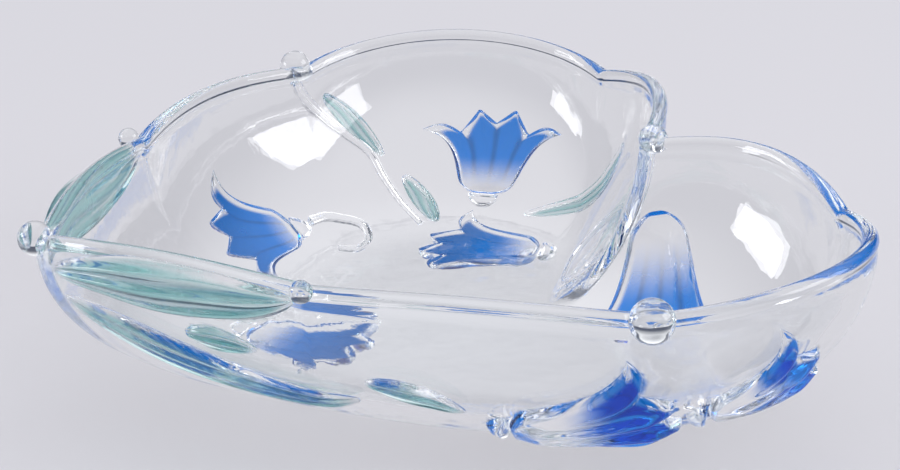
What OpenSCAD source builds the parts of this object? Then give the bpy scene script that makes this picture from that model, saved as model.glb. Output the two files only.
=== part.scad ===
// Heart-shaped pressed glass bowl with bellflowers and leaves in relief on the outside.
// +X runs from the tip of the heart to its notch, +Z is up, and the table is at z = 0.

/* [Heart rim] */
// Distance from the tip back to the side buds
bud_back = 50.5; // [46:0.5:55]
// Half the width across the side buds
bud_half = 68; // [63:0.5:73]
// Distance from the tip back to the large rim beads
bead_back = 123; // [117:0.5:129]
// Half the width across the large rim beads
bead_half = 120; // [114:0.5:126]
// Distance from the tip back to the shoulders of the lobes
shoulder_back = 210; // [204:0.5:216]
// Half the width across the shoulders
shoulder_half = 72.5; // [68:0.5:77]
// Distance from the tip back to the notch
notch_back = 187; // [182:0.5:192]
// Outward bulge of the rim between tip and bud
tip_bulge = 3; // [2:0.25:5]
// Outward bulge of the rim between bud and bead
side_bulge = 7; // [5:0.25:9]
// Outward bulge of the rim between bead and shoulder
lobe_bulge = 28; // [24:0.5:32]
// Outward bulge of the rim between shoulder and notch
notch_bulge = 10; // [7:0.25:12]

/* [Rim heights] */
// Height of the rim at the tip
tip_height = 54.5; // [50:0.5:60]
// Height of the rim at the side buds
bud_height = 55.5; // [50:0.5:60]
// Height of the rim at the large beads
bead_height = 54.5; // [50:0.5:60]
// Height of the rim at the shoulders
shoulder_height = 55.5; // [50:0.5:60]
// Height of the rim at the notch
notch_height = 57.5; // [52:0.5:62]
// Rise of the scallops on both sides of the bud
front_rise = 3; // [1:0.25:5]
// Rise of the scallop over the lobe
lobe_rise = 5; // [2:0.25:7]
// Rise of the scallop beside the notch
notch_rise = 5.5; // [2:0.25:7]

/* [Glass] */
// Thickness of the wall and the floor
wall = 4.6; // [3.5:0.1:5.5]
// Height of the flat underside above the table
underside_height = 4.5; // [3.5:0.1:5]
// Half the width of the flat underside
underside_half = 62; // [56:0.5:68]
// Distance from the tip back to the middle of the underside
underside_back = 130; // [124:0.5:136]
// How much further the wall folds in below the notch than its rim
notch_dent = 18; // [14:0.5:19]
// Fullness of the wall's curve, smaller is fuller
wall_curve = 0.9; // [0.8:0.02:1]

/* [Rim beads] */
// Diameter of the ball on the tip
tip_ball_d = 9.6; // [8:0.2:11]
// Diameter of the large bead on the left
left_bead_d = 9.6; // [8.4:0.2:12]
// Diameter of the large bead on the right
right_bead_d = 12; // [10:0.2:13]
// Diameter of the two side buds
bud_d = 6.2; // [5.4:0.2:8]
// Diameter of the bead in the notch
notch_bead_d = 8.6; // [7:0.2:10]
// How far the middle of a bead lies below the top of the rim
bead_drop = 0.6; // [0.4:0.1:2]
// How far the middle of a bud or a large bead stands outside the rim
bead_out = 1.6; // [0.5:0.1:2]

/* [Bellflowers] */
// Length of a short bell from its neck to its longest petal
short_bell_len = 33; // [29:0.5:35]
// Length of a long bell from its neck to its longest petal
long_bell_len = 44; // [40:0.5:46]
// Length of the two bells under the bowl
foot_bell_len = 37; // [33:0.5:39]
// Length of the bell in the notch
notch_bell_len = 53; // [48:0.5:55]
// Width across the outer petal tips
bell_mouth_w = 49; // [44:0.5:51]
// Width of the body before it flares
bell_body_w = 26; // [23:0.5:28]
// Width of the neck
bell_neck_w = 12; // [10:0.5:13]
// Height of the bells that the bowl stands on
foot_bell_relief = 5.2; // [5.1:0.1:6]
// Height of the other bells
wall_bell_relief = 3.8; // [3:0.1:5]
// Depth of the deep cuts between the petals
petal_cut = 9; // [6:0.5:11]
// Length of a calyx
calyx_len = 5.5; // [4:0.25:6]
// Width of a calyx
calyx_w = 10; // [8:0.25:11]
// Height of a calyx
calyx_relief = 3.6; // [2.5:0.1:4.2]
// Space between a bell and its calyx
calyx_gap = 0.5; // [0.4:0.1:1]

/* [Leaves and stems] */
// Width of the two leaves along the rim
rim_leaf_w = 14.5; // [12:0.5:15]
// Width of the long leaf along the keel
keel_leaf_w = 13; // [10:0.5:14]
// Width of the small leaves
small_leaf_w = 7.5; // [5.5:0.5:8]
// Height of the two leaves along the rim
rim_leaf_relief = 5; // [3.5:0.1:5.5]
// Height of the other leaves
leaf_relief = 2.8; // [2:0.1:3.5]
// Width of the stems
stem_w = 3.6; // [2.6:0.1:4]
// Height of the stems
stem_relief = 2.6; // [2:0.1:3]
// Height of the edge of every relief
edge_relief = 0.6; // [0.4:0.1:1]
// Space between a relief and the wall that it lies on
seat = 0.22; // [0.2:0.01:0.25]

/* [Hidden] */
clear_glass = [0.86, 0.92, 0.95];
blue_stain = [0.12, 0.32, 0.85];
green_stain = [0.55, 0.78, 0.74];

// Ring positions count from 0 at the tip over 2 at the left bead to 4 at the notch and 6 at the right bead.
// Wall positions count from -1 in the middle of the underside over 0 at its edge to 1 at the rim.
// A bellflower is [name, ring, wall, heading, length, height], heading 0 along the ring and 90 up the wall.
BELLS = [
    ["left_front_bell", 1.70, 0.34, 168, short_bell_len, wall_bell_relief],
    ["left_lobe_bell", 2.58, 0.35, 91, short_bell_len, wall_bell_relief],
    ["left_foot_bell", 2.90, 0.09, 212, foot_bell_len, foot_bell_relief],
    ["notch_foot_bell", 4.08, 0.74, -80, notch_bell_len, foot_bell_relief],
    ["tip_foot_bell", 0.45, 0.08, -104, foot_bell_len, foot_bell_relief],
    ["right_front_bell", 6.37, 0.46, 172, long_bell_len, foot_bell_relief],
    ["right_lobe_bell", 5.79, 0.54, 164, short_bell_len, wall_bell_relief],
];

// A leaf is [name, width, height, [[ring, wall], ...]] along its middle.
LEAVES = [
    ["left_rim_leaf", rim_leaf_w, rim_leaf_relief,
        [[0.06, 0.90], [0.30, 0.91], [0.55, 0.90], [0.80, 0.91], [0.95, 0.94]]],
    ["right_rim_leaf", rim_leaf_w, rim_leaf_relief,
        [[7.94, 0.90], [7.70, 0.91], [7.45, 0.90], [7.20, 0.91], [7.05, 0.94]]],
    ["keel_leaf", keel_leaf_w, leaf_relief,
        [[7.93, 0.80], [7.76, 0.72], [7.55, 0.62], [7.30, 0.54], [7.05, 0.51], [6.88, 0.55]]],
    ["sprig_leaf", small_leaf_w, leaf_relief, [[7.46, 0.74], [7.38, 0.75], [7.29, 0.74], [7.20, 0.73]]],
    ["front_leaf", small_leaf_w, leaf_relief, [[6.84, 0.66], [6.74, 0.65], [6.62, 0.61], [6.52, 0.54]]],
    ["bead_leaf", small_leaf_w, leaf_relief, [[2.07, 0.86], [2.13, 0.76], [2.19, 0.65], [2.24, 0.54]]],
    ["stem_leaf", small_leaf_w, leaf_relief, [[2.30, 0.44], [2.33, 0.36], [2.36, 0.27], [2.38, 0.19]]],
    ["lobe_leaf", small_leaf_w, leaf_relief, [[2.76, 0.27], [2.94, 0.38], [3.13, 0.54], [3.24, 0.74]]],
];

// A stem is [name, [[ring, wall], ...]] along its middle.
STEMS = [
    ["bead_stem", [[2.01, 0.86], [2.08, 0.73], [2.15, 0.60], [2.21, 0.46], [2.28, 0.30]]],
    ["bell_tendril", [[1.82, 0.35], [1.94, 0.34], [2.06, 0.26], [2.04, 0.16], [1.94, 0.13], [1.84, 0.17]]],
    ["notch_tendril", [[3.86, 0.60], [3.70, 0.60], [3.54, 0.53], [3.36, 0.40], [3.26, 0.25],
        [3.32, 0.13], [3.50, 0.12], [3.70, 0.24], [3.84, 0.38]]],
];

// A bead is [name, diameter, ring, distance outside the rim].
BEADS = [
    ["tip_ball", tip_ball_d, 0, 0],
    ["left_bud", bud_d, 1, bead_out],
    ["left_bead", left_bead_d, 2, bead_out],
    ["notch_bead", notch_bead_d, 4, 0],
    ["right_bead", right_bead_d, 6, bead_out],
    ["right_bud", bud_d, 7, bead_out],
];

function names(list) = [for (item = list) item[0]];
// The bell in the notch has no calyx.
cupped_bells = [for (bell = BELLS) if (bell[0] != "notch_foot_bell") bell];
calyx_names = [for (bell = cupped_bells) str(bell[0], "_calyx")];

lip_r = wall / 2;
// Ring or wall distance over which a slope is measured
probe = 0.02;
// How fast the cusps of the rim fade down the wall, larger is faster
cusp_fade = 3;
// Outline points to each side that soften the wall below the rim
soft_reach = 8;
// Outline points to each side of the notch over which the wall folds in further
dent_reach = 14;
// Rows of facets up the wall, round the lip and from each rim knot to the next
wall_rows = 10;
lip_rows = 4;
arc_steps = [18, 16, 20, 14, 14, 20, 16, 18];
arc_start = [for (k = 0, sum = 0; k < 8; sum = sum + arc_steps[k], k = k + 1) sum];

knots = [
    [0, 0, tip_height],
    [bud_back, bud_half, bud_height],
    [bead_back, bead_half, bead_height],
    [shoulder_back, shoulder_half, shoulder_height],
    [notch_back, 0, notch_height],
];
bulges = [tip_bulge, side_bulge, lobe_bulge, notch_bulge];
rises = [front_rise, front_rise, lobe_rise, notch_rise];

function unit(v) = v / norm(v);
function mix(p, q, f) = p + (q - p) * f;
function flat(p) = [p[0], p[1]];
function mirrored(p) = [p[0], -p[1], p[2]];
function shifted(p, x) = [p[0] + x, p[1], p[2]];

// A circular arc in plan from one knot to the next, which also rises in the middle.
function arc_point(k, f) =
    let (p = knots[k], q = knots[k + 1])
    let (chord = norm(flat(q) - flat(p)), along = unit(flat(q) - flat(p)), out = [-along[1], along[0]])
    let (radius = (chord * chord / 4 + bulges[k] * bulges[k]) / (2 * bulges[k]))
    let (turn = (2 * f - 1) * 2 * atan2(2 * bulges[k], chord))
    let (ahead = chord / 2 + radius * sin(turn), aside = radius * cos(turn) - radius + bulges[k])
    let (xy = flat(p) + along * ahead + out * aside)
    [xy[0], xy[1], mix(p[2], q[2], f) + rises[k] * sin(180 * f)];

half_rim = [for (k = [0 : 3]) for (i = [0 : arc_steps[k] - 1]) arc_point(k, i / arc_steps[k])];
half_count = len(half_rim);
other_half = [for (i = [half_count - 1 : -1 : 1]) mirrored(half_rim[i])];
tip_rim = concat(half_rim, [knots[4]], other_half);
ring_count = len(tip_rim);

// The middle of the outline's length lies over the origin.
centre_shift = -(max([for (p = tip_rim) p[0]]) - tip_ball_d / 2) / 2;
rim = [for (p = tip_rim) shifted(p, centre_shift)];
middle = [underside_back + centre_shift, 0];

// The outline without its cusps, from a weighted mean over neighbouring points.
soft_weights = [for (k = [-soft_reach : soft_reach]) 1 + cos(180 * k / (soft_reach + 1))];
soft_total = soft_weights * [for (w = soft_weights) 1];
function soft_point(i) =
    [for (k = [-soft_reach : soft_reach]) rim[(i + k + ring_count) % ring_count]];
function dent(i) = notch_dent * pow(cos(90 * min(1, abs(i - half_count) / dent_reach)), 2);
soft_rim = [for (i = [0 : ring_count - 1]) shifted(soft_weights * soft_point(i) / soft_total, -dent(i))];
underside_scale = underside_half / max([for (p = soft_rim) p[1]]);

function ring_index(ring) =
    let (turn = ring - 8 * floor(ring / 8), k = floor(turn))
    arc_start[k] + (turn - k) * arc_steps[k];
function on_ring(table, x) =
    mix(table[floor(x) % ring_count], table[(floor(x) + 1) % ring_count], x - floor(x));

// A point of the outer surface at a ring position and a wall position.
function skin(at) =
    let (x = ring_index(at[0]), edge = on_ring(rim, x), soft = flat(on_ring(soft_rim, x)))
    let (foot = mix(middle, soft, underside_scale))
    at[1] < 0 ? let (xy = mix(middle, foot, 1 + at[1])) [xy[0], xy[1], underside_height] :
    let (g = pow(sin(90 * at[1]), wall_curve), h = 1 - cos(90 * at[1]))
    let (xy = mix(foot, soft, g) + (flat(edge) - soft) * pow(g, cusp_fade))
    [xy[0], xy[1], mix(underside_height, edge[2] - lip_r, h)];

// Slopes along the ring and up the wall, and the outward normal.
function frame(at) =
    let (along = skin(at + [probe, 0]) - skin(at - [probe, 0]))
    let (up = skin(at + [0, probe]) - skin(at - [0, probe]))
    [along / (2 * probe), up / (2 * probe), unit(cross(up, along))];

// The step in ring and wall positions that makes a move along the surface.
function surface_step(f, move) =
    let (a = f[0] * f[0], b = f[0] * f[1], c = f[1] * f[1], p = f[0] * move, q = f[1] * move)
    [p * c - q * b, q * a - p * b] / (a * c - b * b);

// A straight walk on the surface, [position, direction] at its end.
function walk(at, direction, distance, steps) =
    let (f = frame(at), level = unit(direction - f[2] * (f[2] * direction)))
    steps == 0 ? [at, level] :
    let (stride = distance / steps)
    walk(at + surface_step(f, level * stride), level, distance - stride, steps - 1);
function sideways(at, direction) = cross(frame(at)[2], direction);

// A point at a height over the surface, never below the table.
function raised(at, height) =
    let (p = skin(at) + frame(at)[2] * height)
    [p[0], p[1], max(p[2], 0)];

// Triangles between neighbouring points of a grid whose rows follow each other in the list.
function grid_faces(rows, cols, first, flip) =
    [for (j = [0 : rows - 2]) for (i = [0 : cols - 2])
        let (a = first + j * cols + i, b = a + 1, c = a + cols, d = c + 1)
        for (t = flip ? [[a, c, b], [b, c, d]] : [[a, b, c], [b, d, c]]) t];

// Triangles that close the edge between an upper and a lower grid along a run of points.
function edge_faces(run, under) =
    [for (i = [0 : len(run) - 2])
        let (a = run[i], b = run[i + 1])
        for (t = [[a, a + under, b], [b, a + under, b + under]]) t];

// A closed relief from a grid of [position, height].
module relief(grid) {
    rows = len(grid);
    cols = len(grid[0]);
    under = rows * cols;
    top = [for (row = grid) for (cell = row) raised(cell[0], seat + cell[1])];
    low = [for (row = grid) for (cell = row) raised(cell[0], seat)];
    border = concat(
        [for (i = [0 : cols - 1]) i],
        [for (j = [1 : rows - 1]) j * cols + cols - 1],
        [for (i = [cols - 2 : -1 : 0]) (rows - 1) * cols + i],
        [for (j = [rows - 2 : -1 : 0]) j * cols]
    );
    polyhedron(
        points = concat(top, low),
        faces = concat(
            grid_faces(rows, cols, 0, false),
            grid_faces(rows, cols, under, true),
            edge_faces(border, under)
        )
    );
}

// How a bell's edge falls back from its longest petals: shallow in the middle, deep at the outer petals.
inner_tip = 0.26;
deep_cut = 0.48;
shallow_share = 0.55;
outer_share = 0.7;
// A neck is rounded off over a share of the bell's length, down to a share of its width.
neck_share = 0.12;
neck_end = 0.4;
body_swell = 0.5;
flare_late = 3.2;
side_round = 4;
neck_rise = 6;
mouth_rise = 5;
end_share = 0.3;
flute_share = 0.35;
function petal_edge(a) =
    a < inner_tip ? shallow_share * (1 - a / inner_tip) :
    a < deep_cut ? (a - inner_tip) / (deep_cut - inner_tip) :
    mix(1, outer_share, sin(180 * (a - deep_cut) / (1 - deep_cut)));
function neck_round(v) = mix(neck_end, 1, sqrt(1 - pow(1 - min(1, v / neck_share), 2)));
function bell_half(v) =
    neck_round(v) * mix(bell_neck_w, bell_body_w, pow(sin(90 * v), body_swell)) / 2
    + (bell_mouth_w - bell_body_w) / 2 * pow(v, flare_late);
function bell_reach(length, a, v) = v * (length - petal_cut * petal_edge(a) * v * v);
function bell_height(height, a, v) =
    let (side = sqrt(1 - pow(a, side_round)))
    let (ends = min(1, neck_rise * v + end_share, mouth_rise * (1 - v) + end_share))
    let (flute = 1 - flute_share * v * pow(cos(180 * a / deep_cut), 2))
    max(edge_relief, height * side * ends * flute);

bell_rows = 16;
bell_cols = 16;
spine_steps = 8;
side_steps = 5;
function bell_start(bell) =
    let (at = [bell[1], bell[2]], f = frame(at), along = unit(f[0]))
    [at, along * cos(bell[3]) + cross(along, f[2]) * sin(bell[3])];
function bell_cell(start, bell, u, v) =
    let (spine = walk(start[0], start[1], bell_reach(bell[4], abs(u), v), spine_steps))
    let (side = walk(spine[0], sideways(spine[0], spine[1]), u * bell_half(v), side_steps))
    [side[0], bell_height(bell[5], abs(u), v)];

module bell(bell) {
    start = bell_start(bell);
    color(blue_stain) relief(
        [for (j = [0 : bell_rows])
            [for (i = [0 : bell_cols]) bell_cell(start, bell, 2 * i / bell_cols - 1, j / bell_rows)]]
    );
}

calyx_rows = 5;
calyx_cols = 6;
calyx_narrowing = 0.75;
calyx_fall = 0.6;
function calyx_cell(start, u, v) =
    let (spine = walk(start[0], -start[1], calyx_gap + v * calyx_len, spine_steps))
    let (half = calyx_w / 2 * (1 - calyx_narrowing * v * v))
    let (side = walk(spine[0], sideways(spine[0], spine[1]), u * half, side_steps))
    [side[0], max(edge_relief, calyx_relief * sqrt(1 - u * u) * (1 - calyx_fall * v * v))];

module calyx(bell) {
    start = bell_start(bell);
    color(clear_glass) relief(
        [for (j = [0 : calyx_rows])
            [for (i = [0 : calyx_cols]) calyx_cell(start, 2 * i / calyx_cols - 1, j / calyx_rows)]]
    );
}

// A smooth curve through a list of positions, f from 0 to 1.
function curve(path, f) =
    let (last = len(path) - 1, x = min(f * last, last - 0.0001), k = floor(x), t = x - k)
    let (p = path[k], q = path[k + 1], before = path[max(k - 1, 0)], after = path[min(k + 2, last)])
    let (m = (q - before) / 2, n = (after - p) / 2)
    p + m * t + (3 * (q - p) - 2 * m - n) * t * t + (2 * (p - q) + m + n) * t * t * t;
function curve_direction(path, f) =
    skin(curve(path, min(f + probe, 1))) - skin(curve(path, max(f - probe, 0)));
function beside(path, f, width) =
    let (at = curve(path, f))
    walk(at, sideways(at, unit(curve_direction(path, f))), width, side_steps)[0];

leaf_rows = 16;
leaf_cols = 6;
leaf_base = 0.95;
leaf_round = 0.8;
leaf_groove = 0.3;
leaf_blunt = 0.4;
function leaf_half(width, f) =
    edge_relief + (width / 2 - edge_relief) * pow(sin(180 * pow(f, leaf_base)), leaf_round);
function leaf_height(relief, u, f) =
    let (across = sqrt(1 - u * u) * (1 - leaf_groove + leaf_groove * abs(u)))
    max(edge_relief, relief * across * pow(sin(180 * f), leaf_blunt));

module leaf(leaf) {
    color(green_stain) relief(
        [for (j = [0 : leaf_rows]) let (f = j / leaf_rows)
            [for (i = [0 : leaf_cols]) let (u = 2 * i / leaf_cols - 1)
                [beside(leaf[3], f, u * leaf_half(leaf[1], f)), leaf_height(leaf[2], u, f)]]]
    );
}

stem_rows = 22;
stem_cols = 4;
stem_taper = 0.4;
module stem(stem) {
    color(clear_glass) relief(
        [for (j = [0 : stem_rows]) let (f = j / stem_rows, taper = 1 - stem_taper * f)
            [for (i = [0 : stem_cols]) let (u = 2 * i / stem_cols - 1)
                [
                    beside(stem[1], f, u * stem_w / 2 * taper),
                    max(edge_relief, stem_relief * taper * sqrt(1 - u * u))
                ]]]
    );
}

// One cross-section of the wall at a point of the outline, from outside over the lip to inside.
function wall_section(i, low) =
    let (k = [for (n = [0 : 7]) if (arc_start[n] <= i) n], last = k[len(k) - 1])
    let (ring = last + (i - arc_start[last]) / arc_steps[last])
    let (rows = [for (j = [low : wall_rows]) [ring, j / wall_rows]])
    let (outer = [for (at = rows) skin(at)])
    let (inner = [for (j = [len(rows) - 1 : -1 : 0]) skin(rows[j]) - frame(rows[j])[2] * wall])
    let (out = outer[len(outer) - 1], in = inner[0], mid = (out + in) / 2)
    let (lip = [for (n = [1 : lip_rows - 1]) let (turn = 180 * n / lip_rows)
        mid + (out - mid) * cos(turn) + [0, 0, lip_r] * sin(turn)])
    concat(outer, lip, inner);

// A solid from sections that follow each other clockwise, closed by a hub at both ends of the sections.
module turned(sections, hubs) {
    count = len(sections);
    size = len(sections[0]);
    first_hub = count * size;
    polyhedron(
        points = concat([for (section = sections) for (p = section) p], hubs),
        faces = concat(
            [for (i = [0 : count - 1]) let (a = i * size, b = (i + 1) % count * size)
                for (j = [0 : size - 2])
                for (t = [[a + j, b + j, a + j + 1], [b + j, b + j + 1, a + j + 1]]) t],
            [for (i = [0 : count - 1]) let (a = i * size, b = (i + 1) % count * size)
                for (t = [[b, a, first_hub], [a + size - 1, b + size - 1, first_hub + 1]]) t]
        )
    );
}

module bowl_shell() {
    floor_height = underside_height + wall;
    color(clear_glass) turned(
        [for (i = [0 : ring_count - 1]) wall_section(i, 0)],
        [[middle[0], middle[1], underside_height], [middle[0], middle[1], floor_height]]
    );
}

// The stretch of wall and lip under a bead, a few points of the outline to each side.
patch_reach = 3;
patch_low = 6;
module wall_patch(ring) {
    middle_index = ring_index(ring);
    sections = [for (k = [-patch_reach : patch_reach])
        wall_section((middle_index + k + ring_count) % ring_count, patch_low)];
    size = len(sections[0]);
    last = 2 * patch_reach * size;
    cap = [for (j = [0 : size / 2 - 1]) let (a = j, b = j + 1, c = size - 1 - j, d = size - 2 - j)
        for (t = b == d ? [[a, b, c]] : [[a, b, c], [b, d, c]]) t];
    polyhedron(
        points = [for (section = sections) for (p = section) p],
        faces = concat(
            [for (k = [0 : 2 * patch_reach - 1]) let (a = k * size, b = a + size)
                for (j = [0 : size - 1]) let (n = (j + 1) % size)
                for (t = [[a + j, b + j, a + n], [b + j, b + n, a + n]]) t],
            cap,
            [for (t = cap) [t[0] + last, t[2] + last, t[1] + last]]
        )
    );
}

function bead_centre(ring, distance) =
    let (out = unit(flat(frame([ring, 1])[2])) * distance)
    rim[ring_index(ring)] + [out[0], out[1], -bead_drop];

ball_rows = 10;
ball_cols = 20;
module ball(centre, radius) {
    turned(
        [for (i = [0 : ball_cols - 1]) let (turn = -360 * i / ball_cols)
            [for (j = [1 : ball_rows - 1]) let (tilt = 180 * j / ball_rows)
                centre + radius * [sin(tilt) * cos(turn), sin(tilt) * sin(turn), -cos(tilt)]]],
        [centre - [0, 0, radius], centre + [0, 0, radius]]
    );
}

module bead(bead) {
    color(clear_glass) difference() {
        ball(bead_centre(bead[2], bead[3]), bead[1] / 2);
        wall_patch(bead[2]);
    }
}

bowl_shell();
for (b = BEADS) bead(b);
for (b = BELLS) bell(b);
for (b = cupped_bells) calyx(b);
for (l = LEAVES) leaf(l);
for (s = STEMS) stem(s);
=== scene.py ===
import math

import bpy
import numpy as np
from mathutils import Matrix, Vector
from mathutils.kdtree import KDTree


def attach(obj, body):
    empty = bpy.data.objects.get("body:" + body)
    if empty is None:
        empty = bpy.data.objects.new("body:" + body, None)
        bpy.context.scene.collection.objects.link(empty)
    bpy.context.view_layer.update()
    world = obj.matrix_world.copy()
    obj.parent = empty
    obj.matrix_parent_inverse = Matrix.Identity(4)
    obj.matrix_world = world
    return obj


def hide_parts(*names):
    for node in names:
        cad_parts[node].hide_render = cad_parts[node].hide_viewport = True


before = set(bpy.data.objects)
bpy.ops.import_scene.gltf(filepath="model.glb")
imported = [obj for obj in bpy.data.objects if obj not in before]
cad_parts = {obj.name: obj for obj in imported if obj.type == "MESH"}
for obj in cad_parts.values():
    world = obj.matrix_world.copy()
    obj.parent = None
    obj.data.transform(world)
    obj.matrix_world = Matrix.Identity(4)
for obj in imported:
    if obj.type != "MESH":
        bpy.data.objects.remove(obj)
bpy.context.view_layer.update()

# Lengths are in millimetres here and become metres when a mesh is made.
MM = 0.001

# The heart's rim at the tip, bud, bead, shoulder and notch: distance back, half width, height.
KNOTS = np.array([
    (0, 0, 54.5),
    (50.5, 68, 55.5),
    (123, 120, 54.5),
    (210, 72.5, 55.5),
    (187, 0, 57.5),
])
# Each scallop between two of them: how far it bulges out, how far it rises and its count of points.
BULGES = np.array([3, 7, 28, 10])
RISES = np.array([3, 3, 5, 5.5])
ARC_POINTS = np.array([18, 16, 20, 14])

# Ring positions count 0 tip, 2 left bead, 4 notch, 6 right bead, 8 tip; wall positions 0 underside, 1 rim.
RING_TURN = 8
NOTCH_RING = 4

WALL = 4.6
LIP_R = WALL / 2
UNDERSIDE_HEIGHT = 4.5
UNDERSIDE_HALF = 62
UNDERSIDE_BACK = 130
WALL_CURVE = 0.9
CUSP_FADE = 3
SOFT_REACH = 8
NOTCH_DENT = 18
DENT_REACH = 14

TIP_BALL_D = 9.6
LEFT_BEAD_D = 9.6
RIGHT_BEAD_D = 12
BUD_D = 6.2
NOTCH_BEAD_D = 8.6
BEAD_DROP = 0.6
BEAD_OUT = 1.6

SHORT_BELL = 33
LONG_BELL = 44
FOOT_BELL = 37
NOTCH_BELL = 53
BELL_MOUTH_W = 49
BELL_BODY_W = 26
BELL_NECK_W = 12
FOOT_BELL_RELIEF = 5.2
WALL_BELL_RELIEF = 3.8
CALYX_LEN = 5.5
CALYX_W = 10
CALYX_RELIEF = 3.6
CALYX_GAP = 0.5

RIM_LEAF_W = 14.5
KEEL_LEAF_W = 13
SMALL_LEAF_W = 7.5
RIM_LEAF_RELIEF = 5
LEAF_RELIEF = 2.0
STEM_W = 3.4
STEM_RELIEF = 3.0

# A bead is its diameter, its ring position and how far its middle stands outside the rim.
BEADS = {
    "tip_ball": (TIP_BALL_D, 0, 0),
    "left_bud": (BUD_D, 1, BEAD_OUT),
    "left_bead": (LEFT_BEAD_D, 2, BEAD_OUT),
    "notch_bead": (NOTCH_BEAD_D, 4, 0),
    "right_bead": (RIGHT_BEAD_D, 6, BEAD_OUT),
    "right_bud": (BUD_D, 7, BEAD_OUT),
}

# A bell is its ring and wall position, its heading (0 along the ring, 90 up the wall), its length and height,
# and the share of its length at which its stain begins and how deep the stain is at its mouth;
# the foot bells' depth also holds painted shade, darker where they sit in the bowl's shadow on the table.
BELLS = {
    "left_front_bell": (1.70, 0.34, 168, SHORT_BELL, WALL_BELL_RELIEF, -0.15, 0.9),
    "left_lobe_bell": (2.58, 0.35, 91, SHORT_BELL, WALL_BELL_RELIEF, 0.08, 0.45),
    "left_foot_bell": (2.90, 0.09, 212, FOOT_BELL, FOOT_BELL_RELIEF, 0.0, 1.1),
    "notch_foot_bell": (4.08, 0.74, -80, NOTCH_BELL, FOOT_BELL_RELIEF, 0.12, 0.3),
    "tip_foot_bell": (0.45, 0.08, -104, FOOT_BELL, FOOT_BELL_RELIEF, 0.0, 1.1),
    "right_front_bell": (6.37, 0.46, 172, LONG_BELL, FOOT_BELL_RELIEF, 0.3, 0.7),
    "right_lobe_bell": (5.79, 0.54, 164, SHORT_BELL, WALL_BELL_RELIEF, 0.33, 0.5),
}
# The bell in the notch has no room for a calyx.
BARE_BELL = "notch_foot_bell"

# A leaf is its width, its height and the ring and wall positions along its middle.
LEAVES = {
    "left_rim_leaf": (RIM_LEAF_W, RIM_LEAF_RELIEF, [
        (0.06, 0.91), (0.30, 0.92), (0.55, 0.915), (0.80, 0.93), (0.96, 0.97),
    ]),
    "right_rim_leaf": (RIM_LEAF_W, RIM_LEAF_RELIEF, [
        (7.94, 0.91), (7.70, 0.92), (7.45, 0.915), (7.20, 0.93), (7.04, 0.97),
    ]),
    "keel_leaf": (KEEL_LEAF_W, LEAF_RELIEF, [
        (7.93, 0.80), (7.76, 0.72), (7.55, 0.62), (7.30, 0.54), (7.05, 0.51), (6.88, 0.55),
    ]),
    "sprig_leaf": (SMALL_LEAF_W, LEAF_RELIEF, [(7.46, 0.74), (7.38, 0.75), (7.29, 0.74), (7.20, 0.73)]),
    "front_leaf": (SMALL_LEAF_W, LEAF_RELIEF, [(6.84, 0.66), (6.74, 0.65), (6.62, 0.61), (6.52, 0.54)]),
    "bead_leaf": (SMALL_LEAF_W, LEAF_RELIEF, [(2.07, 0.86), (2.13, 0.76), (2.19, 0.65), (2.24, 0.54)]),
    "stem_leaf": (SMALL_LEAF_W, LEAF_RELIEF, [(2.30, 0.44), (2.33, 0.36), (2.36, 0.27), (2.38, 0.19)]),
    "lobe_leaf": (SMALL_LEAF_W, LEAF_RELIEF, [(2.76, 0.27), (2.94, 0.38), (3.13, 0.54), (3.24, 0.74)]),
}

# A stem is the ring and wall positions along its middle.
STEMS = {
    "bead_stem": [
        (1.97, 0.95), (2.02, 0.845), (2.075, 0.75), (2.14, 0.655),
        (2.20, 0.565), (2.226, 0.45), (2.262, 0.32), (2.315, 0.19),
    ],
    "bell_tendril": [
        (1.82, 0.35), (1.94, 0.34), (2.06, 0.26), (2.04, 0.16), (1.94, 0.13), (1.84, 0.17),
    ],
    "notch_tendril": [
        (3.86, 0.60), (3.70, 0.60), (3.54, 0.53), (3.36, 0.40), (3.26, 0.25),
        (3.32, 0.13), (3.50, 0.12), (3.70, 0.24), (3.84, 0.38),
    ],
}


# ---- The bowl's outer surface

PROBE = 0.02
TINY = 1e-4
# Steps of a walk along a bell and of one out to its side.
SPINE_STEPS = 8
SIDE_STEPS = 5
CORNER_POWER = 4.0


def unit(v):
    """Vectors of length one."""
    return v / np.linalg.norm(v, axis=-1, keepdims=True)


def dot(a, b):
    """Dot products that keep their last axis."""
    return np.sum(a * b, axis=-1, keepdims=True)


def ease(low, high, x):
    """Smooth step from 0 at low to 1 at high."""
    t = np.clip((x - low) / (high - low), 0, 1)
    return t * t * (3 - 2 * t)


def rounded(distance, radius):
    """A quarter-round rise from 0 at an edge to 1 at a radius from it."""
    t = np.clip(distance / radius, 0, 1)
    return np.sqrt(1 - (1 - t) ** 2)


def nearest(*distances):
    """The least of several distances, with soft corners."""
    return sum(np.maximum(d, TINY) ** -CORNER_POWER for d in distances) ** (-1 / CORNER_POWER)


def crowded(count):
    """Values from 0 to 1 that crowd together towards both ends."""
    return (1 - np.cos(np.pi * np.arange(count) / (count - 1))) / 2


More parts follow.
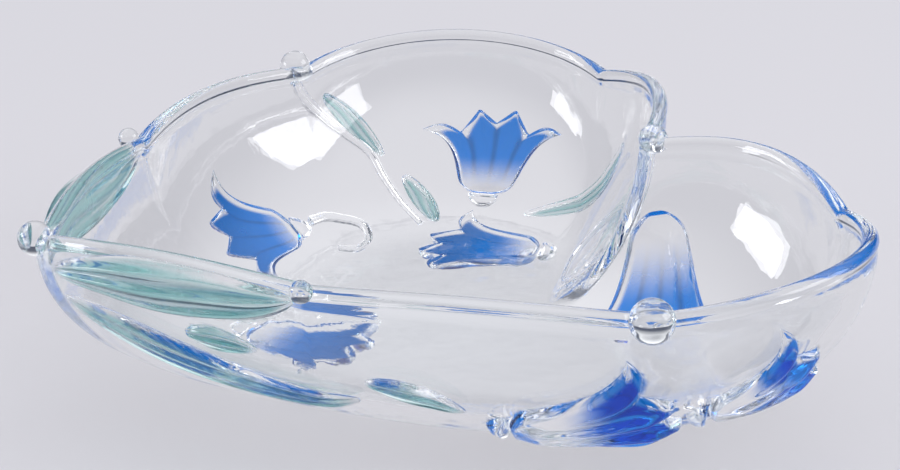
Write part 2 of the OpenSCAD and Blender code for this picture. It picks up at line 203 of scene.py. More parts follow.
def tip_edge(ring):
    """The rim's outer top edge, measured back from the tip."""
    ring = np.mod(np.asarray(ring, float), RING_TURN)
    turn = np.where(ring > NOTCH_RING, RING_TURN - ring, ring)
    k = np.minimum(turn.astype(int), NOTCH_RING - 1)
    f = turn - k
    p, q = KNOTS[k], KNOTS[k + 1]
    span = (q - p)[..., :2]
    chord = np.linalg.norm(span, axis=-1)
    along = span / chord[..., None]
    out = np.stack([-along[..., 1], along[..., 0]], axis=-1)
    bulge = BULGES[k]
    radius = (chord ** 2 / 4 + bulge ** 2) / (2 * bulge)
    angle = (2 * f - 1) * 2 * np.arctan2(2 * bulge, chord)
    ahead = chord / 2 + radius * np.sin(angle)
    aside = radius * np.cos(angle) - radius + bulge
    xy = p[..., :2] + along * ahead[..., None] + out * aside[..., None]
    z = p[..., 2] + (q - p)[..., 2] * f + RISES[k] * np.sin(np.pi * f)
    side = np.where(ring > NOTCH_RING, -1, 1)
    return np.stack([xy[..., 0], xy[..., 1] * side, z], axis=-1)


# The outline's table of points, and the same without its cusps from a weighted mean of neighbours.
ARC_COUNTS = np.concatenate([ARC_POINTS, ARC_POINTS[::-1]])
ARC_STARTS = np.concatenate([[0], np.cumsum(ARC_COUNTS)[:-1]])
TABLE_RINGS = np.concatenate([k + np.arange(n) / n for k, n in enumerate(ARC_COUNTS)])
CENTRE_SHIFT = -(tip_edge(TABLE_RINGS)[:, 0].max() - TIP_BALL_D / 2) / 2
SHIFT = np.array([CENTRE_SHIFT, 0, 0])
MIDDLE = np.array([UNDERSIDE_BACK + CENTRE_SHIFT, 0])
SOFT_STEPS = np.arange(-SOFT_REACH, SOFT_REACH + 1)
SOFT_WEIGHTS = 1 + np.cos(np.pi * SOFT_STEPS / (SOFT_REACH + 1))
RIM_TABLE = tip_edge(TABLE_RINGS) + SHIFT
SOFT_SUM = sum(w * np.roll(RIM_TABLE, -k, axis=0) for k, w in zip(SOFT_STEPS, SOFT_WEIGHTS))
SOFT_RIM = SOFT_SUM / SOFT_WEIGHTS.sum()
NOTCH_STEPS = np.abs(np.arange(len(SOFT_RIM)) - ARC_POINTS.sum())
SOFT_RIM[:, 0] -= NOTCH_DENT * np.cos(np.pi / 2 * np.minimum(1, NOTCH_STEPS / DENT_REACH)) ** 2
UNDERSIDE_SCALE = UNDERSIDE_HALF / SOFT_RIM[:, 1].max()


def soft_outline(ring):
    """A smooth reading of the outline without cusps."""
    ring = np.mod(np.asarray(ring, float), RING_TURN)
    k = np.minimum(ring.astype(int), RING_TURN - 1)
    x = ARC_STARTS[k] + (ring - k) * ARC_COUNTS[k]
    i = np.floor(x).astype(int)
    t = (x - i)[..., None]
    a, b, c, d = (SOFT_RIM[(i + step) % len(SOFT_RIM), :2] for step in (-1, 0, 1, 2))
    return b + t * (c - a + t * (2 * a - 5 * b + 4 * c - d + t * (3 * (b - c) + d - a))) / 2


def skin(ring, wall):
    """Points of the bowl's outer surface."""
    soft = soft_outline(ring)
    edge = tip_edge(ring) + SHIFT
    foot = MIDDLE + (soft - MIDDLE) * UNDERSIDE_SCALE
    up = np.maximum(wall, 0)
    fullness = (np.sin(np.pi / 2 * np.minimum(up, 1)) ** WALL_CURVE)[..., None]
    climb = 1 - np.cos(np.pi / 2 * up)
    on_wall = foot + (soft - foot) * fullness + (edge[..., :2] - soft) * fullness ** CUSP_FADE
    under = MIDDLE + (foot - MIDDLE) * (1 + np.minimum(wall, 0))[..., None]
    xy = np.where((wall < 0)[..., None], under, on_wall)
    z = UNDERSIDE_HEIGHT + (edge[..., 2] - LIP_R - UNDERSIDE_HEIGHT) * climb
    return np.concatenate([xy, z[..., None]], axis=-1)


def slopes(ring, wall):
    """Slopes along the ring and up the wall, and the outward normal."""
    along = (skin(ring + PROBE, wall) - skin(ring - PROBE, wall)) / (2 * PROBE)
    up = (skin(ring, wall + PROBE) - skin(ring, wall - PROBE)) / (2 * PROBE)
    return along, up, unit(np.cross(up, along))


def walk(ring, wall, direction, distance, steps):
    """Straight walks on the surface; gives the positions and the directions at their ends."""
    stride = (distance / steps)[..., None]
    for _ in range(steps):
        along, up, out = slopes(ring, wall)
        direction = unit(direction - out * dot(out, direction))
        move = direction * stride
        a, b, c = dot(along, along), dot(along, up), dot(up, up)
        p, q = dot(along, move), dot(up, move)
        ring = ring + ((p * c - q * b) / (a * c - b * b))[..., 0]
        wall = wall + ((q * a - p * b) / (a * c - b * b))[..., 0]
    out = slopes(ring, wall)[2]
    return ring, wall, unit(direction - out * dot(out, direction))


def sideways(ring, wall, direction):
    """Directions on the surface at right angles to a direction."""
    return np.cross(slopes(ring, wall)[2], direction)


def raised(ring, wall, height):
    """Points at a height over the outer surface, never below the table."""
    points = skin(ring, wall) + slopes(ring, wall)[2] * height[..., None]
    points[..., 2] = np.maximum(points[..., 2], 0)
    return points


# ---- Pieces

def add_piece(name, points, faces, finish, masks, shown=None):
    """Makes a smooth mesh piece that stands for the node of its name; its first faces are those that show."""
    mesh = bpy.data.meshes.new(name + "_glass")
    mesh.from_pydata(points * MM, [], faces)
    mesh.shade_smooth()
    for mask, values in masks.items():
        layer = mesh.attributes.new(mask, "FLOAT", "POINT")
        layer.data.foreach_set("value", np.ascontiguousarray(values, np.float32))
    mesh.materials.append(finish)
    if shown is not None:
        mesh.materials.append(hidden_seam)
        seams = np.arange(len(faces)) >= shown
        mesh.polygons.foreach_set("material_index", seams.astype(np.int32))
    piece = bpy.data.objects.new(name + "_glass", mesh)
    bpy.context.scene.collection.objects.link(piece)
    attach(piece, "root")
    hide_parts(name)


# How deep the lower side of a relief lies in the wall, so that the glass of both runs together.
SINK = 0.6
# Places of the wall under a relief of at least this height, where the two run together, and how far from
# them the wall's own surface begins and is whole again.
SEAM_HEIGHT = 1.2
SEAM_NEAR = 0.5
SEAM_FAR = 1.4
seated = []


def cut_from(corner, quad):
    """Two triangles of a quad, cut from a corner of it."""
    at = quad.index(corner)
    a, b, c, d = quad[at:] + quad[:at]
    return [(a, b, c), (a, c, d)]


def lens_faces(rows, cols):
    """Faces of an upper and a lower grid that share their border points."""
    index = np.arange(rows * cols).reshape(rows, cols)
    under = index.copy()
    under[1:-1, 1:-1] = rows * cols + np.arange((rows - 2) * (cols - 2)).reshape(rows - 2, cols - 2)
    corners = set(index[::rows - 1, ::cols - 1].ravel().tolist())
    faces = []
    for grid, flip in ((index, True), (under, False)):
        quads = np.stack([grid[:-1, :-1], grid[:-1, 1:], grid[1:, 1:], grid[1:, :-1]], axis=-1).reshape(-1, 4)
        for quad in (quads[:, ::-1] if flip else quads).tolist():
            corner = corners.intersection(quad)
            faces.extend(cut_from(corner.pop(), quad) if corner else [quad])
    return faces


def add_relief(name, ring, wall, height, finish, masks):
    """A lens of glass on the wall: its top follows the heights, its lower side lies in the wall."""
    rows, cols = ring.shape
    top = raised(ring, wall, height)
    inner = (slice(1, -1), slice(1, -1))
    low = raised(ring[inner], wall[inner], np.full_like(ring[inner], -SINK))
    points = np.concatenate([top.reshape(-1, 3), low.reshape(-1, 3)])
    spare = np.zeros((rows - 2) * (cols - 2))
    full_masks = {mask: np.concatenate([values.ravel(), spare]) for mask, values in masks.items()}
    seated.append(skin(ring, wall)[height > SEAM_HEIGHT])
    faces = lens_faces(rows, cols)
    add_piece(name, points, faces, finish, full_masks, shown=len(faces) // 2)


def covered_share(points):
    """How far points of the wall are covered by a relief, 0 to 1."""
    places = np.concatenate(seated)
    tree = KDTree(len(places))
    for i, place in enumerate(places):
        tree.insert(place, i)
    tree.balance()
    distance = np.array([tree.find(point)[2] for point in points])
    return 1 - ease(SEAM_NEAR, SEAM_FAR, distance)


BELL_ROWS = 64
BELL_COLS = 81
# The petals: how deep the mouth is cut, and places across half of it of the tip and the cut beside it.
PETAL_CUT = 9
INNER_TIP = 0.26
DEEP_CUT = 0.48
SHALLOW_SHARE = 0.55
OUTER_SHARE = 0.7
NECK_SHARE = 0.15
NECK_END = 0.15
NECK_INSET = 0.01
MOUTH_FLARE = 3.2
# A bell's edge is a round bead, and the rest of its height comes as a slow swell.
BELL_ROUND = 1.9
BELL_SWELL = 9
EDGE_SHARE = 0.6
# Flutes deepen between two shares of a bell's length.
FLUTE_DEPTH = 0.42
FLUTE_FROM = 0.1
FLUTE_FULL = 0.9
# The stain fades in along a bell and in from its clear edge, and deepens towards the mouth and in the grooves;
# on the foot bells the deepening is partly painted shade, for the bowl's shadow they sit in.
STAIN_FADE = 0.45
STAIN_EDGE = 1.0
STAIN_FULL = 2.3
DEEPEN_FROM = -0.4
GROOVE_SHARPNESS = 3


def petal_edge(a):
    """How far a bell's mouth falls back from its longest petals, 0 to 1."""
    middle = SHALLOW_SHARE * (1 - a / INNER_TIP)
    cut = (a - INNER_TIP) / (DEEP_CUT - INNER_TIP)
    outer = 1 + (OUTER_SHARE - 1) * np.sin(np.pi * (a - DEEP_CUT) / (1 - DEEP_CUT))
    return np.where(a < INNER_TIP, middle, np.where(a < DEEP_CUT, cut, outer))


def bell_half(v):
    """Half the width of a bell from its neck, 0, to its mouth, 1."""
    body = BELL_NECK_W + (BELL_BODY_W - BELL_NECK_W) * np.sqrt(np.sin(np.pi / 2 * v))
    neck = NECK_END + (1 - NECK_END) * rounded(v, NECK_SHARE)
    return neck * body / 2 + (BELL_MOUTH_W - BELL_BODY_W) / 2 * v ** MOUTH_FLARE


def bell_start(ring, wall, heading):
    """Where a bell's neck is and which way it points."""
    ring, wall = np.array(float(ring)), np.array(float(wall))
    along, _, out = slopes(ring, wall)
    along = unit(along)
    turn = math.radians(heading)
    return ring, wall, along * math.cos(turn) + np.cross(along, out) * math.sin(turn)


def add_bell(name, ring, wall, heading, length, relief, stain_from, stain_and_shade_depth):
    """A fluted bellflower with four petals, stained from its mouth towards its neck."""
    ring, wall, direction = bell_start(ring, wall, heading)
    v, u = np.meshgrid(crowded(BELL_ROWS), 2 * crowded(BELL_COLS) - 1, indexing="ij")
    a = np.abs(u)
    reach = v * (length - PETAL_CUT * petal_edge(a) * v ** 2)
    mouth = length - PETAL_CUT * petal_edge(a)
    half = bell_half(v)
    ahead = np.broadcast_to(direction, v.shape + (3,))
    spine = walk(ring + 0 * v, wall + 0 * v, ahead, reach, SPINE_STEPS)
    ring, wall, _ = walk(spine[0], spine[1], sideways(*spine), u * half, SIDE_STEPS)
    inset = nearest((1 - a) * half, mouth - reach, reach + NECK_INSET)
    valley = np.cos(np.pi * a / DEEP_CUT) ** 2
    flute = 1 - FLUTE_DEPTH * ease(FLUTE_FROM, FLUTE_FULL, v) * valley
    swell = EDGE_SHARE * rounded(inset, BELL_ROUND) + (1 - EDGE_SHARE) * ease(0, BELL_SWELL, inset)
    height = -SINK + (relief + SINK) * swell * flute
    stain = ease(stain_from, stain_from + STAIN_FADE, v) * ease(STAIN_EDGE, STAIN_FULL, inset)
    # Painted shade: on the foot bells the depth towards the mouth also darkens the stain for the bowl's shadow
    # they sit in.
    groove_and_shade = np.maximum(valley ** GROOVE_SHARPNESS, stain_and_shade_depth * ease(DEEPEN_FROM, 1, v))
    masks = {"stain": stain, "groove_and_shade": groove_and_shade}
    add_relief(name, ring, wall, height, blue_glass, masks)


CALYX_ROWS = 24
CALYX_COLS = 29
CALYX_ROUND = 2.4
CALYX_NARROWING = 0.75
CALYX_FALL = 0.3


def add_calyx(name, ring, wall, heading):
    """The clear cup at a bell's neck."""
    ring, wall, direction = bell_start(ring, wall, heading)
    v, u = np.meshgrid(crowded(CALYX_ROWS), 2 * crowded(CALYX_COLS) - 1, indexing="ij")
    back = np.broadcast_to(-direction, v.shape + (3,))
    spine = walk(ring + 0 * v, wall + 0 * v, back, CALYX_GAP + v * CALYX_LEN, SPINE_STEPS)
    half = CALYX_W / 2 * (1 - CALYX_NARROWING * v ** 2)
    ring, wall, _ = walk(spine[0], spine[1], sideways(*spine), u * half, SIDE_STEPS)
    inset = nearest((1 - np.abs(u)) * half, v * CALYX_LEN, (1 - v) * CALYX_LEN)
    height = -SINK + (CALYX_RELIEF + SINK) * rounded(inset, CALYX_ROUND) * (1 - CALYX_FALL * v)
    add_relief(name, ring, wall, height, clear_glass, {})


def curve(path, f):
    """A smooth curve through ring and wall positions."""
    path = np.array(path)
    last = len(path) - 1
    x = np.minimum(f * last, last - TINY)
    k = x.astype(int)
    t = (x - k)[..., None]
    p, q = path[k], path[k + 1]
    before, after = path[np.maximum(k - 1, 0)], path[np.minimum(k + 2, last)]
    m, n = (q - before) / 2, (after - p) / 2
    return p + m * t + (3 * (q - p) - 2 * m - n) * t ** 2 + (2 * (p - q) + m + n) * t ** 3


def beside(path, f, width):
    """Positions at a distance to the side of a curve on the wall."""
    at = curve(path, f)
    ahead, behind = curve(path, np.minimum(f + PROBE, 1)), curve(path, np.maximum(f - PROBE, 0))
    direction = unit(skin(ahead[..., 0], ahead[..., 1]) - skin(behind[..., 0], behind[..., 1]))
    ring, wall = at[..., 0], at[..., 1]
    return walk(ring, wall, sideways(ring, wall, direction), width, SIDE_STEPS)[:2]


LEAF_ROWS = 96
LEAF_COLS = 57
# The half width at a leaf's ends, and the powers that shape its outline and its crown.
LEAF_EDGE = 0.6
LEAF_LEAN = 0.95
LEAF_FULLNESS = 0.8
LEAF_CROWN = 0.4
# Ribs across a leaf, how far they drift sideways along it, and how deep the hollows between them are.
LEAF_RIBS = 1.5
RIB_DRIFT = 0.12
RIB_DEPTH = 0.3
# Streaks of the stain across a leaf, how they wander along it, and how faint the faintest is.
STREAKS = 2.4
STREAK_WANDER = 1.5
STREAK_WAVES = 5
FAINT_STREAK = 0.5
# The stain fades in from a leaf's edge, and over a share of its length at both ends.
LEAF_STAIN_EDGE = 0.4
LEAF_STAIN_FULL = 1.8
LEAF_FADE = 0.15


def add_leaf(name, width, relief, path):
    """A ribbed leaf, stained along its middle."""
    f, u = np.meshgrid(crowded(LEAF_ROWS), 2 * crowded(LEAF_COLS) - 1, indexing="ij")
    outline = np.sin(np.pi * f ** LEAF_LEAN).clip(0) ** LEAF_FULLNESS
    half = LEAF_EDGE + (width / 2 - LEAF_EDGE) * outline
    ring, wall = beside(path, f, u * half)
    points = skin(ring, wall)
    length = np.linalg.norm(np.diff(points[:, LEAF_COLS // 2], axis=0), axis=-1).sum()
    inset = nearest((1 - np.abs(u)) * half, f * length, (1 - f) * length)
    drift = u + RIB_DRIFT * np.sin(2 * np.pi * f)
    rib = np.cos(np.pi * LEAF_RIBS * drift) ** 2
    body = np.sin(np.pi * f).clip(0) ** LEAF_CROWN
    height = -SINK + (relief + SINK) * rounded(inset, relief) * body * (1 - RIB_DEPTH + RIB_DEPTH * rib)
    streak = 0.5 + 0.5 * np.sin(STREAKS * np.pi * drift + STREAK_WANDER * np.sin(STREAK_WAVES * f))
    ends = ease(0, LEAF_FADE, f) * ease(0, LEAF_FADE, 1 - f)
    stain = ease(LEAF_STAIN_EDGE, LEAF_STAIN_FULL, inset) * ends * (FAINT_STREAK + (1 - FAINT_STREAK) * streak)
    masks = {"stain": stain, "groove_and_shade": (1 - rib) ** GROOVE_SHARPNESS}
    add_relief(name, ring, wall, height, green_glass, masks)


STEM_ROWS = 120
STEM_COLS = 17
STEM_TAPER = 0.4
STEM_END = 0.02


def add_stem(name, path):
    """A round clear stem that tapers to its end."""
    f, u = np.meshgrid(crowded(STEM_ROWS), 2 * crowded(STEM_COLS) - 1, indexing="ij")
    taper = 1 - STEM_TAPER * f
    ring, wall = beside(path, f, u * STEM_W / 2 * taper)
    ends = rounded(np.minimum(f, 1 - f), STEM_END)
    height = -SINK + (STEM_RELIEF + SINK) * taper * np.sqrt(1 - u ** 2) * ends
    add_relief(name, ring, wall, height, clear_glass, {})


BALL_ROWS = 40
BALL_COLS = 64


def add_bead(name, diameter, ring, out):
    """A clear ball on the rim."""
    ring = np.array(float(ring))
    outward = slopes(ring, np.array(1.0))[2].copy()
    outward[2] = 0
    centre = tip_edge(ring) + SHIFT + unit(outward) * out - np.array([0, 0, BEAD_DROP])
    tilt = np.pi * np.arange(1, BALL_ROWS) / BALL_ROWS
    turn = 2 * np.pi * np.arange(BALL_COLS) / BALL_COLS
    tilt, turn = np.meshgrid(tilt, turn, indexing="ij")
    ball = np.stack([np.sin(tilt) * np.cos(turn), np.sin(tilt) * np.sin(turn), np.cos(tilt)], axis=-1)
    points = np.concatenate([ball.reshape(-1, 3), [(0, 0, 1), (0, 0, -1)]]) * diameter / 2 + centre
    faces = []
    last = (BALL_ROWS - 2) * BALL_COLS
    top, bottom = len(points) - 2, len(points) - 1
    for i in range(BALL_COLS):
        n = (i + 1) % BALL_COLS
        for j in range(BALL_ROWS - 2):
            row = j * BALL_COLS
            faces.append((row + i, row + BALL_COLS + i, row + BALL_COLS + n, row + n))
        faces.append((top, i, n))
        faces.append((bottom, last + n, last + i))
    add_piece(name, points, faces, clear_glass, {})


RING_FINENESS = 4
OUTER_ROWS = 60
INNER_ROWS = 24
# Rows are closer together above this wall position.
RIM_FROM = 0.9
RIM_ROWS = 16
LIP_ROWS = 14
FLOOR_ROWS = 12
# Close under the rolled lip the wall is narrower on each side, most at one depth and no more at another.
LIP_PINCH = 0.35
PINCH_FULL = 1.4
PINCH_END = 4.5
# Millimetres that the wall rises for one of its positions, near the rim.
RIM_RISE = 75


def lip_pinch(wall):
    """How much narrower each side of the wall is, under the lip."""
    below = (1 - wall) * RIM_RISE
    return (LIP_PINCH * ease(0, PINCH_FULL, below) * (1 - ease(PINCH_FULL, PINCH_END, below)))[..., None]


def wall_side(ring, rows, depth):
    """One side of the wall from the floor to the lip, at a depth under the outer surface."""
    wall = np.concatenate([np.linspace(0, RIM_FROM, rows), np.linspace(RIM_FROM, 1, RIM_ROWS + 1)[1:]])
    ring, wall = np.meshgrid(ring, wall, indexing="ij")
    pinch = lip_pinch(wall) if depth == 0 else -lip_pinch(wall)
    return skin(ring, wall) - slopes(ring, wall)[2] * (depth + pinch)


def add_shell():
    """The clear wall, floor and rounded lip."""
    counts = ARC_COUNTS * RING_FINENESS
    ring = np.concatenate([k + np.arange(n) / n for k, n in enumerate(counts)])
    count = len(ring)
    outer = wall_side(ring, OUTER_ROWS, 0)
    inner = wall_side(ring, INNER_ROWS, WALL)[:, ::-1]
    out, inside = outer[:, -1:], inner[:, :1]
    mid = (out + inside) / 2
    turn = (np.pi * np.arange(1, LIP_ROWS) / LIP_ROWS)[None, :, None]
    lip = mid + (out - mid) * np.cos(turn) + np.array([0, 0, LIP_R]) * np.sin(turn)
    spoke = np.linspace(1, 0, FLOOR_ROWS + 1)[1:-1][None, :, None]
    low_hub = np.array([*MIDDLE, UNDERSIDE_HEIGHT])
    high_hub = low_hub + np.array([0, 0, WALL])
    under = (low_hub + (outer[:, :1] - low_hub) * spoke)[:, ::-1]
    floor = high_hub + (inner[:, -1:] - high_hub) * spoke
    sections = np.concatenate([under, outer, lip, inner, floor], axis=1)
    size = sections.shape[1]
    points = np.concatenate([sections.reshape(-1, 3), [low_hub, high_hub]])
    outside = np.tile(np.arange(size) < under.shape[1] + outer.shape[1], count)
    seam = np.zeros(len(points))
    seam[:-2][outside] = covered_share(points[:-2][outside])
    faces = []
    for i in range(count):
        a, b = i * size, (i + 1) % count * size
        faces.extend((a + j, a + j + 1, b + j + 1, b + j) for j in range(size - 1))
        faces.append((b, count * size, a))
        faces.append((a + size - 1, count * size + 1, b + size - 1))
    add_piece("bowl_shell", points, faces, shell_glass, {"seam": seam})


# ---- Finishes

class Value:
    """A node's output that takes part in sums: each operator adds a Math node."""

    def __init__(self, shader, socket):
        self.shader = shader
        self.socket = socket

    def maths(self, operation, first, second):
        return self.shader.node("ShaderNodeMath", {"operation": operation}, {0: first, 1: second})

    def __add__(self, other):
        return self.maths("ADD", self, other)

    def __sub__(self, other):
        return self.maths("SUBTRACT", self, other)

    def __rsub__(self, other):
        return self.maths("SUBTRACT", other, self)

    def __mul__(self, other):
        return self.maths("MULTIPLY", self, other)

    __radd__ = __add__
    __rmul__ = __mul__


class Shader:
    """The nodes of one finish."""

    def __init__(self, tree):
        self.tree = tree
        tree.nodes.clear()

    def node(self, kind, settings=None, sockets=None, out=0):
        """Adds a node: its settings first, then the values or links of its sockets."""
        made = self.tree.nodes.new(kind)
        for name, value in (settings or {}).items():
            setattr(made, name, value)
        for name, value in (sockets or {}).items():
            if isinstance(value, Value):
                self.tree.links.new(value.socket, made.inputs[name])
            else:
                made.inputs[name].default_value = value
        return Value(self, made.outputs[out]) if made.outputs else made

    def mix(self, factor, first, second):
        """A mix of two colours."""
        return self.node("ShaderNodeMix", {"data_type": "RGBA"}, {0: factor, 6: first, 7: second}, out=2)

    def blend(self, factor, first, second):
        """A mix of two shaders."""
        return self.node("ShaderNodeMixShader", {}, {0: factor, 1: first, 2: second})

    def noise(self, scale, detail=2.0):
        """Noise in the object's own metres, 0 to 1."""
        place = self.node("ShaderNodeTexCoord", out="Object")
        return self.node("ShaderNodeTexNoise", {}, {"Vector": place, "Scale": scale, "Detail": detail})

    def step(self, value, low, high):
        """A smooth step from 0 at low to 1 at high."""
        return self.node("ShaderNodeMapRange", {"interpolation_type": "SMOOTHSTEP"}, {
            "Value": value, "From Min": low, "From Max": high,
        })

    def mask(self, name):
        """A mask that is stored on the mesh."""
        return self.node("ShaderNodeAttribute", {"attribute_name": name}, out="Fac")

    def surface(self, shader):
        """Joins a shader to the material's output."""
        self.node("ShaderNodeOutputMaterial", {}, {"Surface": shader})


CLEAR = (0.985, 0.995, 1.0, 1)
GLASS_IOR = 1.5
# The stain is a satin skin: light that meets it from inside the glass doesn't turn back.
STAIN_IOR = 1.01
OUTSIDE_ROUGHNESS = 0.02
INSIDE_ROUGHNESS = 0.22
SATIN_SCALE = 90
SATIN_SPREAD = 0.15
# How far the grooves, the painted shade of the foot bells and the fine spray of the stain shift its colour
# from light to deep.
GROOVE_AND_SHADE_TINT = 0.85
SPRAY_TINT = 0.2
SPRAY_SCALE = 420
SPRAY_DETAIL = 4.0
# A stain is its deep and its light colour, and the share of light that passes it.
BLUE_STAIN = ((0.0001, 0.022, 0.24, 1), (0.0004, 0.1, 1.0, 1), 0.93)
GREEN_STAIN = ((0.03, 0.19, 0.26, 1), (0.2, 0.53, 0.52, 1), 0.8)
# Slow waves and fine pits of the mould: noise scales and heights.
WAVE_SCALE = 55
WAVE_HEIGHT = 0.9
PIT_SCALE = 700
PIT_HEIGHT = 0.02
MOULD_STRENGTH = 0.12
MOULD_DISTANCE = 0.002


def new_finish(name):
    """A material with an empty node tree."""
    material = bpy.data.materials.new(name)
    material.use_nodes = True
    return material, Shader(material.node_tree)


def mould_bump(shader):
    """The slow waves and the fine chill marks that a mould leaves in glass."""
    height = shader.noise(WAVE_SCALE) * WAVE_HEIGHT + shader.noise(PIT_SCALE) * PIT_HEIGHT
    return shader.node("ShaderNodeBump", {}, {
        "Strength": MOULD_STRENGTH, "Distance": MOULD_DISTANCE, "Height": height,
    })


def polished(shader, normal):
    """Clear polished glass."""
    return shader.node("ShaderNodeBsdfPrincipled", {}, {
        "Base Color": CLEAR, "Roughness": 0.0, "IOR": GLASS_IOR,
        "Transmission Weight": 1.0, "Normal": normal,
    })


def unseen(shader):
    """Nothing at all, where two pieces are one glass."""
    return shader.node("ShaderNodeBsdfPrincipled", {}, {"Base Color": CLEAR, "Alpha": 0.0})


def make_clear_glass():
    """Polished glass of the beads, calyxes and stems."""
    material, shader = new_finish("clear_pressed_glass")
    shader.surface(polished(shader, mould_bump(shader)))
    return material


def make_shell_glass():
    """Polished glass of the wall, which has no surface of its own under a relief."""
    material, shader = new_finish("clear_wall_glass")
    wall = polished(shader, mould_bump(shader))
    shader.surface(shader.blend(shader.mask("seam"), wall, unseen(shader)))
    return material


def make_hidden_seam():
    """The lower side of a relief, inside the wall."""
    material, shader = new_finish("hidden_seam")
    shader.surface(unseen(shader))
    return material


def make_stained_glass(name, deep, light, clear_share):
    """Glass with a satin stain that lies thicker in the grooves, deepens with painted shade where its mask
    holds it, and fades out to clear.
    """
    material, shader = new_finish(name)
    normal = mould_bump(shader)
    spray = shader.noise(SPRAY_SCALE, SPRAY_DETAIL)
    # The mask's depth is stain in the grooves and towards the mouth, and on the foot bells painted shade.
    depth = shader.mask("groove_and_shade") * GROOVE_AND_SHADE_TINT + spray * SPRAY_TINT - SPRAY_TINT / 2
    colour = shader.mix(depth, light, deep)
    satin = shader.noise(SATIN_SCALE) * SATIN_SPREAD
    outside, inside = (shader.node("ShaderNodeBsdfPrincipled", {}, {
        "Base Color": colour, "Roughness": satin + rough, "IOR": bend,
        "Transmission Weight": clear_share, "Normal": normal,
    }) for rough, bend in ((OUTSIDE_ROUGHNESS, GLASS_IOR), (INSIDE_ROUGHNESS, STAIN_IOR)))
    within = shader.node("ShaderNodeNewGeometry", out="Backfacing")
    stained = shader.blend(within, outside, inside)
    shader.surface(shader.blend(shader.mask("stain"), polished(shader, normal), stained))
    return material


clear_glass = make_clear_glass()
shell_glass = make_shell_glass()
hidden_seam = make_hidden_seam()
blue_glass = make_stained_glass("blue_stained_glass", *BLUE_STAIN)
green_glass = make_stained_glass("green_stained_glass", *GREEN_STAIN)

for name, bead in BEADS.items():
    add_bead(name, *bead)
for name, bell in BELLS.items():
    add_bell(name, *bell)
    if name != BARE_BELL:
        add_calyx(name + "_calyx", *bell[:3])
for name, leaf in LEAVES.items():
    add_leaf(name, *leaf)
for name, path in STEMS.items():
    add_stem(name, path)
add_shell()


# ---- Studio, in metres

FLOOR_SIZE = 6.0
# The table lies a hair below the feet, so that their stained faces show.
FLOOR_DROP = 0.0004
FLOOR_COLOUR = (0.672, 0.665, 0.71, 1)
FLOOR_ROUGHNESS = 0.6
# A painted pool of light on the table under the bowl: brighter floor colour that stands in for the light the
# bowl gathers there.
PAINTED_POOL_COLOUR = (0.8, 0.8, 0.845, 1)
PAINTED_POOL_MIDDLE = (0.02, 0.035, 0.0)
PAINTED_POOL_CORE = 0.02
PAINTED_POOL_REACH = 0.11
# Light Path outputs of rays that see the table: from the camera, a reflection or through glass.
SEEN_RAYS = ("Is Camera Ray", "Is Glossy Ray", "Is Transmission Ray")
# Share of the table's brightness that shadows leave alone.
SHADOW_FILL = 0.62


def add_floor():
    """The pale table top, with a painted pool of light under the bowl."""
    half = FLOOR_SIZE / 2
    mesh = bpy.data.meshes.new("table_top")
    corners = [(x * half, y * half, -FLOOR_DROP) for x, y in ((-1, -1), (1, -1), (1, 1), (-1, 1))]
    mesh.from_pydata(corners, [], [(0, 1, 2, 3)])
    material, shader = new_finish("pale_table")
    lit = shader.node("ShaderNodeBsdfPrincipled", {}, {
        "Base Color": FLOOR_COLOUR, "Roughness": FLOOR_ROUGHNESS,
    })
    seen = sum((shader.node("ShaderNodeLightPath", out=kind) for kind in SEEN_RAYS), 0)
    place = shader.node("ShaderNodeTexCoord", out="Object")
    offset = shader.node("ShaderNodeVectorMath", {"operation": "DISTANCE"}, {
        0: place, 1: PAINTED_POOL_MIDDLE,
    }, out="Value")
    # Painted pool of light: the floor colour brightens towards the middle under the bowl.
    painted_pool = shader.step(offset, PAINTED_POOL_REACH, PAINTED_POOL_CORE)
    plain = shader.node("ShaderNodeEmission", {}, {
        "Color": shader.mix(painted_pool, FLOOR_COLOUR, PAINTED_POOL_COLOUR), "Strength": 1.0,
    })
    shader.surface(shader.blend(seen * SHADOW_FILL, lit, plain))
    mesh.materials.append(material)
    floor = bpy.data.objects.new("table_top", mesh)
    bpy.context.scene.collection.objects.link(floor)


# A softbox is its place, width, height and power; it faces the bowl.
SOFTBOXES = {
    "key_softbox": ((-1.42, 0.66, 0.42), 0.75, 0.36, 6),
    "side_softbox": ((1.26, -0.73, 0.72), 1.25, 0.75, 13),
}


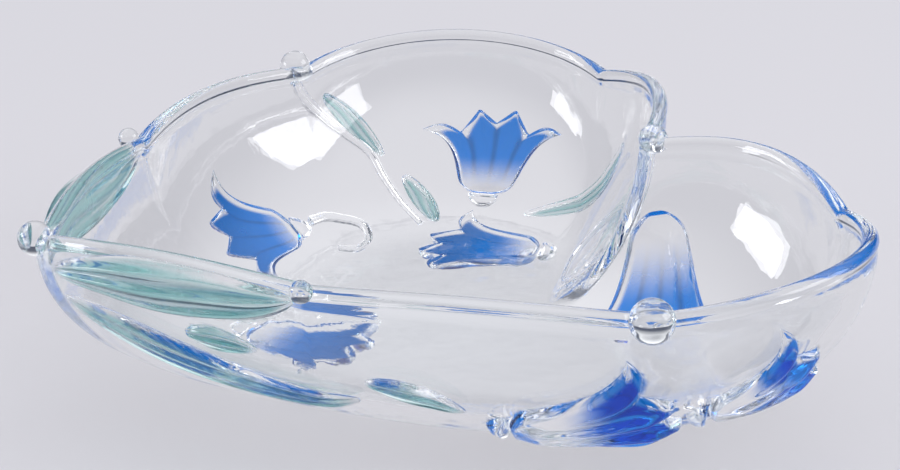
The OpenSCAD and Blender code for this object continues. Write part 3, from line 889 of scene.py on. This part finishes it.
def add_softbox(name, place, width, height, power):
    """A rectangular studio light."""
    lamp = bpy.data.lights.new(name, "AREA")
    lamp.shape = "RECTANGLE"
    lamp.size, lamp.size_y = width, height
    lamp.energy = power
    holder = bpy.data.objects.new(name, lamp)
    holder.location = place
    holder.rotation_mode = "QUATERNION"
    holder.rotation_quaternion = (-Vector(place)).to_track_quat("-Z", "Y")
    bpy.context.scene.collection.objects.link(holder)


# Heights of a direction, from 0 level to 1 straight up, between which the studio brightens.
DIM_BELOW = 0.2
BRIGHT_ABOVE = 0.85
HORIZON_COLOUR = (0.04, 0.055, 0.095, 1)
OVERHEAD_COLOUR = (1.3, 1.3, 1.33, 1)


def add_world():
    """Even studio light, bright overhead and dim near the horizon."""
    world = bpy.data.worlds.new("studio")
    world.use_nodes = True
    bpy.context.scene.world = world
    shader = Shader(world.node_tree)
    place = shader.node("ShaderNodeTexCoord", out="Generated")
    height = shader.node("ShaderNodeSeparateXYZ", {}, {"Vector": place}, out="Z")
    lift = shader.step(height, DIM_BELOW, BRIGHT_ABOVE)
    colour = shader.mix(lift, HORIZON_COLOUR, OVERHEAD_COLOUR)
    background = shader.node("ShaderNodeBackground", {}, {"Color": colour, "Strength": 1.0})
    shader.node("ShaderNodeOutputWorld", {}, {"Surface": background})


EYE = Vector((-305.0, -718.5, 322.8)) * MM
AIM = Vector((18.19, -0.73, 36.92)) * MM
LENS = 117.3


def add_camera():
    """The camera at the photograph's viewing angle."""
    camera = bpy.data.objects.new("camera", bpy.data.cameras.new("camera"))
    camera.data.lens = LENS
    camera.location = EYE
    camera.rotation_mode = "QUATERNION"
    camera.rotation_quaternion = (AIM - EYE).to_track_quat("-Z", "Y")
    bpy.context.scene.collection.objects.link(camera)
    bpy.context.scene.camera = camera


add_floor()
add_world()
for name, softbox in SOFTBOXES.items():
    add_softbox(name, *softbox)
add_camera()

# Light turns back and forth many times in thick glass; the seams that don't show count separately.
GLASS_BOUNCES = 64
SEAM_BOUNCES = 24
BRIGHTEST_BOUNCE = 8

scene = bpy.context.scene
scene.view_settings.view_transform = "Standard"
scene.cycles.use_denoising = True
scene.cycles.max_bounces = GLASS_BOUNCES
scene.cycles.transmission_bounces = GLASS_BOUNCES
scene.cycles.glossy_bounces = GLASS_BOUNCES
scene.cycles.transparent_max_bounces = SEAM_BOUNCES
scene.cycles.sample_clamp_indirect = BRIGHTEST_BOUNCE
